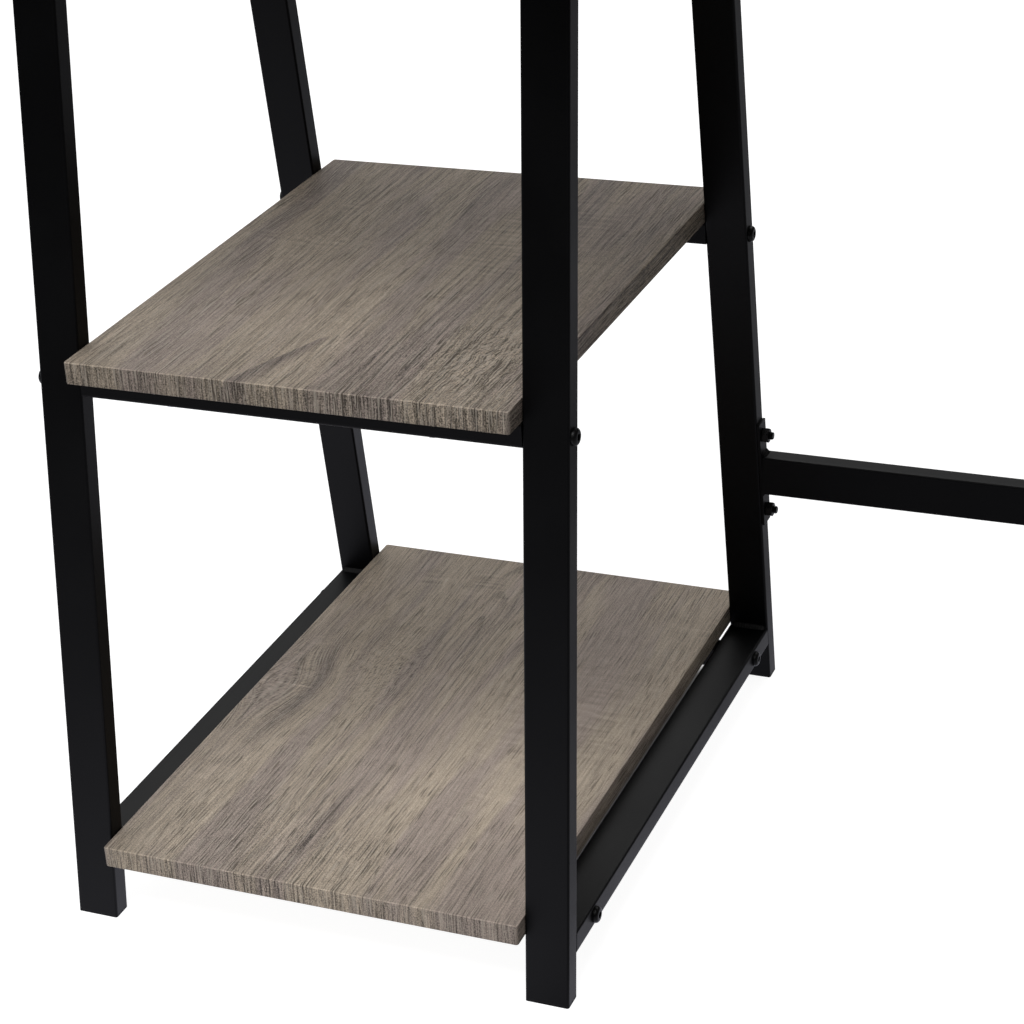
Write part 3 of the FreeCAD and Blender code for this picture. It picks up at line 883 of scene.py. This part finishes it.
def turned(seat, outward, up, rises, radii):
    """Rings about an axis: seat + rise * outward + radius * (up * cos(angle) + side * sin(angle))."""
    side = np.cross(outward, up)
    spokes = np.cos(ANGLES)[:, None] * up + np.sin(ANGLES)[:, None] * side
    radii = np.stack([np.broadcast_to(radius, AROUND) for radius in radii])
    return seat + np.asarray(rises)[:, None, None] * outward + radii[..., None] * spokes


def hexagon(flats):
    """Radius of a hexagon at each angle, with a corner at angle 0."""
    return flats / 2 / np.cos(ANGLES % (math.pi / 3) - math.pi / 6)


HEAD_DIAMETER, HEAD_HEIGHT, HEAD_FLAT = 11.4 * MM, 3.3 * MM, 6.4 * MM
HEAD_RIM = 0.8 * MM
FLUSH_DIAMETER, FLUSH_PROUD, FLUSH_RIM = 11.0 * MM, 0.15 * MM, 0.35 * MM
SOCKET_FLATS, SOCKET_DEPTH, SOCKET_CHAMFER = 4.0 * MM, 2.0 * MM, 0.25 * MM


def socket_rings(face):
    """Rings of a hexagon socket below a head's flat face: chamfer, wall, and a shallow cone floor."""
    rises = [face, face - SOCKET_CHAMFER, face - SOCKET_DEPTH, face - SOCKET_DEPTH - SOCKET_CHAMFER]
    wall = hexagon(SOCKET_FLATS)
    return rises, [wall + SOCKET_CHAMFER, wall, wall, 0.15 * wall]


def domed(diameter, flat, rim, height, steps):
    """Rises and radii of a domed head: a straight rim, then a quarter ellipse up to the flat."""
    turn = np.linspace(0, math.pi / 2, steps)
    rises = [0.0, *(rim + (height - rim) * np.sin(turn))]
    return rises, [diameter / 2, *(flat / 2 + (diameter - flat) / 2 * np.cos(turn))]


def button_head(seat, outward):
    """A domed head with a hexagon socket in its flat."""
    rises, radii = domed(HEAD_DIAMETER, HEAD_FLAT, HEAD_RIM, HEAD_HEIGHT, 9)
    socket_rises, socket_radii = socket_rings(HEAD_HEIGHT)
    return turned(seat, outward, Z, rises + socket_rises, radii + socket_radii)


def flush_head(seat, outward):
    """A countersunk head that stands flush: a flat disc with a soft rim and a hexagon socket."""
    rises = [-FLUSH_PROUD, 0.0, FLUSH_PROUD]
    radii = [FLUSH_DIAMETER / 2, FLUSH_DIAMETER / 2, FLUSH_DIAMETER / 2 - FLUSH_RIM]
    socket_rises, socket_radii = socket_rings(FLUSH_PROUD)
    return turned(seat, outward, Z, rises + socket_rises, radii + socket_radii)


print("a hexagon socket's radii:", sorted(set((hexagon(SOCKET_FLATS) / MM).round(2)))[::8])

# %% [markdown]
# A shelf bar is bolted at each end through the frame, and the domed heads show on the frame's outer
# faces. The stretcher is bolted the other way round: its countersunk heads lie flush in the legs, and
# the nuts and the bolts' threaded ends show beside the stretcher.

# %% Bar bolts
bay_left = box_of("left_front_leg")[0][0]
bay_right = box_of("middle_front_leg")[1][0]
for level in LEVELS:
    heads = []
    for side in SIDES:
        _, _, bar_middle = box_of(f"{level}_{side}_bar")
        for face, outward in ((bay_left, -X), (bay_right, X)):
            heads.append(button_head(np.array([face, bar_middle[1], bar_middle[2]]), outward))
    dress("turned", f"{level}_bar_bolts", heads, black_oxide, "black_fasteners")
    print(level, "bar bolts:", len(heads), "heads")

# %% Stretcher bolts and nuts
NUT_FLATS, NUT_HEIGHT, NUT_BEVEL = 10.0 * MM, 5.0 * MM, 0.9 * MM
BOLT_DIAMETER, BOLT_TAIL, TAIL_BEVEL, TAIL_DRAW = 6.0 * MM, 3.0 * MM, 0.8 * MM, 0.7 * MM
THREAD_PITCH, THREAD_DEPTH = 1.0 * MM, 0.55 * MM


def nut_shell(seat, outward):
    """A hexagon nut: at each rise the smaller of the hexagon and a 30 degree chamfer cone."""
    bevel = np.linspace(0, NUT_BEVEL, 7)
    rises = np.concatenate([bevel, NUT_HEIGHT - bevel[::-1]])
    flat = NUT_FLATS / 2
    cone = flat * 0.97 + np.minimum(rises, NUT_HEIGHT - rises) / math.tan(math.radians(30))
    radii = [np.minimum(hexagon(NUT_FLATS), limit) for limit in cone]
    return turned(seat, outward, Z, [*rises, NUT_HEIGHT], [*radii, BOLT_DIAMETER / 2])


def thread_shell(seat, outward):
    """A threaded end: the radius dips by a triangle wave of rise less one pitch for each full turn."""
    rises = np.linspace(NUT_HEIGHT - TAIL_BEVEL, NUT_HEIGHT + BOLT_TAIL, 49)
    phase = (rises[:, None] / THREAD_PITCH - ANGLES / (2 * math.pi)) % 1
    chamfer = np.clip((rises[-1] - rises) / TAIL_BEVEL, 0, 1)
    limit = BOLT_DIAMETER / 2 - TAIL_DRAW * (1 - chamfer)
    radii = np.minimum(BOLT_DIAMETER / 2 - THREAD_DEPTH * np.abs(2 * phase - 1), limit[:, None])
    return turned(seat, outward, Z, rises, radii)


bolts_low, bolts_high, _ = box_of("stretcher_bolts")
bolt_heights = (bolts_low[2] + FLUSH_DIAMETER / 2, bolts_high[2] - FLUSH_DIAMETER / 2)
heads, nuts = [], []
for name, plate, into_knee in PLATES:
    outer = box_of(f"{name}_rear_leg")[0 if into_knee > 0 else 1][0]
    inner = box_of(plate)[1 if into_knee > 0 else 0][0]
    for height in bolt_heights:
        _, y, z = leg_middle(name, "rear", height)
        heads.append(flush_head(np.array([outer, y, z]), -into_knee * X))
        heads.append(thread_shell(np.array([inner, y, z]), into_knee * X))
        nuts.append(nut_shell(np.array([inner, y, z]), into_knee * X))
dress("turned", "stretcher_bolts", heads, black_oxide, "black_fasteners")
dress("turned", "stretcher_nuts", nuts, black_oxide, "black_fasteners")
print("stretcher:", len(nuts), "nuts at heights", (np.array(bolt_heights) / MM).round(1), "mm")

# %% [markdown]
# ## Wood screws
#
# Pan-head screws come up through the bars and the top rails into the boards. Only their heads can be
# seen, from below. The cross slot is the outline of a plus sign: at each angle the nearer of the slot's
# side and its end.

# %% Screw heads
SCREW_HEAD, SCREW_FLAT, SCREW_HEIGHT, SCREW_RIM = 8.0 * MM, 4.96 * MM, 2.4 * MM, 0.7 * MM
SLOT_LENGTH, SLOT_WIDTH, SLOT_DEPTH, SLOT_TAPER = 2.1 * MM, 0.55 * MM, 1.4 * MM, 0.35


def cross_slot():
    """Half width of a plus sign at each angle: min(length / larger, width / smaller) of |cos|, |sin|."""
    larger = np.maximum(np.abs(np.cos(ANGLES)), np.abs(np.sin(ANGLES)))
    smaller = np.minimum(np.abs(np.cos(ANGLES)), np.abs(np.sin(ANGLES)))
    return np.minimum(SLOT_LENGTH / larger, SLOT_WIDTH / np.maximum(smaller, 0.05))


def pan_head(seat):
    """A domed head that hangs below its seat, with a cross slot in its flat."""
    rises, radii = domed(SCREW_HEAD, SCREW_FLAT, SCREW_RIM, SCREW_HEIGHT, 8)
    slot = cross_slot()
    slot_rises = [SCREW_HEIGHT, SCREW_HEIGHT - SLOT_DEPTH]
    return turned(seat, -Z, Y, rises + slot_rises, radii + [slot, SLOT_TAPER * slot])


for level in LEVELS:
    screws_low, screws_high, _ = box_of(f"{level}_shelf_screws")
    heads = []
    for side in SIDES:
        bar_low, _, bar_middle = box_of(f"{level}_{side}_bar")
        for x in (screws_low[0] + SCREW_HEAD / 2, screws_high[0] - SCREW_HEAD / 2):
            heads.append(pan_head(np.array([x, bar_middle[1], bar_low[2]])))
    dress("turned", f"{level}_shelf_screws", heads, zinc, "zinc_plated_steel")
screws_low, screws_high, _ = box_of("desktop_screws")
heads = []
for name in FRAMES:
    rail_low, _, rail_middle = box_of(f"{name}_top_rail")
    for y in (screws_low[1] + SCREW_HEAD / 2, screws_high[1] - SCREW_HEAD / 2):
        heads.append(pan_head(np.array([rail_middle[0], y, rail_low[2]])))
dress("turned", "desktop_screws", heads, zinc, "zinc_plated_steel")
print("screw heads under the desktop:", len(heads))

# %% [markdown]
# ## Solids that stay
#
# The moulded feet and plugs and the threaded blocks in the bars already have the shape of the real
# things, so their solids stay in view and only take a finish.

# %% Finishes on the solids that stay
kept_finish = {f"{level}_bar_nuts": zinc for level in LEVELS}
for name in FRAMES:
    for part in ("front_foot", "rear_foot", "top_rail_plugs"):
        kept_finish[f"{name}_{part}"] = black_plastic
for node, finish in kept_finish.items():
    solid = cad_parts[node]
    if not solid.material_slots:
        solid.data.materials.append(finish)
    for material_slot in solid.material_slots:
        material_slot.material = finish
print("solids that stay:", len(kept_finish))

# %% [markdown]
# ## Camera, floor and light
#
# The camera stands where the photograph was taken from: its place and turns were worked out from the
# vanishing points of the legs and boards. The lens looks past the middle of the picture, so the
# picture is shifted.

# %% Camera
camera_place = Vector((0.3005, -1.4852, 1.0210))
turn_left, tilt_down, roll = (math.radians(angle) for angle in (24.99, 27.41, -4.19))
picture_size = 1024
focal_pixels = 2613.4
lens_pixel = (442.7, 577.6)

ahead = Vector((-math.sin(turn_left) * math.cos(tilt_down), math.cos(turn_left) * math.cos(tilt_down),
                -math.sin(tilt_down)))
level_right = Vector((math.cos(turn_left), math.sin(turn_left), 0))
level_up = level_right.cross(ahead)
right = level_right * math.cos(roll) + level_up * math.sin(roll)
up = right.cross(ahead)
camera = put_in_scene("photo_camera", bpy.data.cameras.new("photo_camera"))
camera.matrix_world = Matrix.Translation(camera_place) @ Matrix((right, up, -ahead)).transposed().to_4x4()
camera.data.sensor_width = 36
camera.data.lens = focal_pixels / picture_size * camera.data.sensor_width
camera.data.shift_x = (picture_size / 2 - lens_pixel[0]) / picture_size
camera.data.shift_y = (lens_pixel[1] - picture_size / 2) / picture_size
bpy.context.scene.camera = camera
shifts = (round(camera.data.shift_x, 3), round(camera.data.shift_y, 3))
print("lens", round(camera.data.lens, 1), "mm, shift", shifts)

# %% [markdown]
# The floor is a lit table, as a studio uses for a picture on white, and each kind of ray meets its own
# light there. The camera sees white, with a painted shadow under the lower shelf, where the floor gives
# camera rays no glow. The desk mirrors a cool glow, and a softer glow falls on it: both are strongest
# at the shelf end, weaker to the left and the back, weak to the right, and gone well before the desk.
# From below the floor is clear, so that the underside can be looked at.

# %% Floor
FLOOR_REACH, GLOW_REACH = 14.0, (0.5, 5.0)
GLOW, SOFT_GLOW, SEEN_GLOW = (1.50, 1.50, 1.72, 1), (0.60, 0.60, 0.60, 1), (0.93, 0.93, 0.93, 1)
DARK, FLOOR_GREYS = (0, 0, 0, 1), ((0.30, 0.30, 0.30, 1), (0.33, 0.33, 0.33, 1))
# Each step of the glow: its axis, where it starts and ends, and the share of glow there.
GLOW_STEPS = (("Y", -1.30, -0.30, 0.0, 1.0), ("Y", -0.20, 0.30, 1.0, 0.66),
              ("X", -0.95, -0.45, 0.62, 1.0), ("X", -0.30, -0.14, 1.0, 0.24))
floor_material, tree, shader = start_material("pale_floor", Roughness=0.9, Specular_IOR_Level=0.0,
                                              Emission_Strength=1.0)
floor_place = object_place(tree)
floor_parts = parts_of(floor_place)
feed(shader.inputs["Base Color"], blend(noise(floor_place, 0.8, 2.0), *FLOOR_GREYS))
from_middle = place(tree, "VectorMath", floor_place, operation="LENGTH")["Value"]
glow = remap(from_middle, *GLOW_REACH, 1.0, 0.0)
for axis, start, end, share_at_start, share_at_end in GLOW_STEPS:
    glow = product(glow, remap(floor_parts[axis], start, end, share_at_start, share_at_end))
shelf_low, shelf_high, shelf_middle = box_of("lower_shelf")
half_x, half_y, _ = (shelf_high - shelf_low) / 2
aside = calc("ABSOLUTE", calc("SUBTRACT", floor_parts["X"], shelf_middle[0]))
# A painted shadow: under the lower shelf the floor shows camera rays no glow.
under = product(remap(aside, 0.85 * half_x, half_x, 1.0, 0.0),
                window(floor_parts["Y"], (-0.62 * half_y, -0.50 * half_y), (0.86 * half_y, half_y)))
ray = place(tree, "LightPath")
seen_with_painted_shadow = blend(under, SEEN_GLOW, DARK)
unseen = blend(glow, DARK, blend(ray["Is Glossy Ray"], SOFT_GLOW, GLOW))
feed(shader.inputs["Emission Color"], blend(ray["Is Camera Ray"], unseen, seen_with_painted_shadow))
from_below = place(tree, "NewGeometry")["Backfacing"]
clear = place(tree, "BsdfTransparent")[0]
one_sided = place(tree, "MixShader", from_below, shader.outputs[0], clear)[0]
feed(tree.nodes["Material Output"].inputs["Surface"], one_sided)
floor_mesh = bpy.data.meshes.new("floor")
floor_corners = FLOOR_REACH * np.array([(-1, -1, 0), (1, -1, 0), (1, 1, 0), (-1, 1, 0)])
floor_mesh.from_pydata(floor_corners.tolist(), [], [(0, 1, 2, 3)])
floor_mesh.materials.append(floor_material)
floor = put_in_scene("floor", floor_mesh)
print("floor", 2 * FLOOR_REACH, "m square")

# %% [markdown]
# Black tubes show little but what they mirror. So the walls of the studio, which are its world, are
# darker to the right and in front. In a mirror they are nearly black near the level and bright from
# about 30 degrees up, and the camera sees them white. A key light from the front and above reaches
# under the desktop and lights the shelves, brightest at their front edges.

# %% Light
KEY_PLACE, KEY_AIM = Vector((-0.30, -1.75, 3.0)), Vector((-0.35, 0.0, 0.30))
KEY_SIZE, KEY_WATTS, KEY_SPREAD = (1.6, 1.3), 12.0, math.radians(80)
WALL, RIGHT_WALL, FRONT_SHARE, SEEN_WALL = 1.24, 0.28, 0.40, 1.00
LOW_SHARE, HIGH_SHARE = 0.08, 2.60


def pick(ray_kind, value, others):
    """One value for this kind of ray, and another value for all the others."""
    return place(ray_kind.id_data, "Mix", ray_kind, None, others, value, data_type="FLOAT")[0]


key_light = bpy.data.lights.new("front_key", "AREA")
key_light.shape = "RECTANGLE"
key_light.size, key_light.size_y = KEY_SIZE
key_light.energy, key_light.spread = KEY_WATTS, KEY_SPREAD
key = put_in_scene("front_key", key_light)
key.location = KEY_PLACE
key.rotation_euler = (KEY_AIM - KEY_PLACE).to_track_quat("-Z", "Y").to_euler()
studio = bpy.context.scene.world or bpy.data.worlds.new("studio")
bpy.context.scene.world = studio
studio.use_nodes = True
tree = studio.node_tree
ways = parts_of(place(tree, "TexCoord")["Generated"])
walls = product(remap(ways["X"], -0.2, 0.6, WALL, RIGHT_WALL),
                remap(ways["Y"], -0.8, 0.2, FRONT_SHARE, 1.0))
mirrored = product(walls, remap(ways["Z"], 0.47, 0.55, LOW_SHARE, HIGH_SHARE))
ray = place(tree, "LightPath")
strength = pick(ray["Is Camera Ray"], SEEN_WALL, pick(ray["Is Glossy Ray"], mirrored, walls))
feed(tree.nodes["Background"].inputs["Color"], (1.0, 1.0, 1.0, 1))
feed(tree.nodes["Background"].inputs["Strength"], strength)
bpy.context.scene.view_settings.view_transform = "Standard"
print("key light of", KEY_WATTS, "W, and walls")
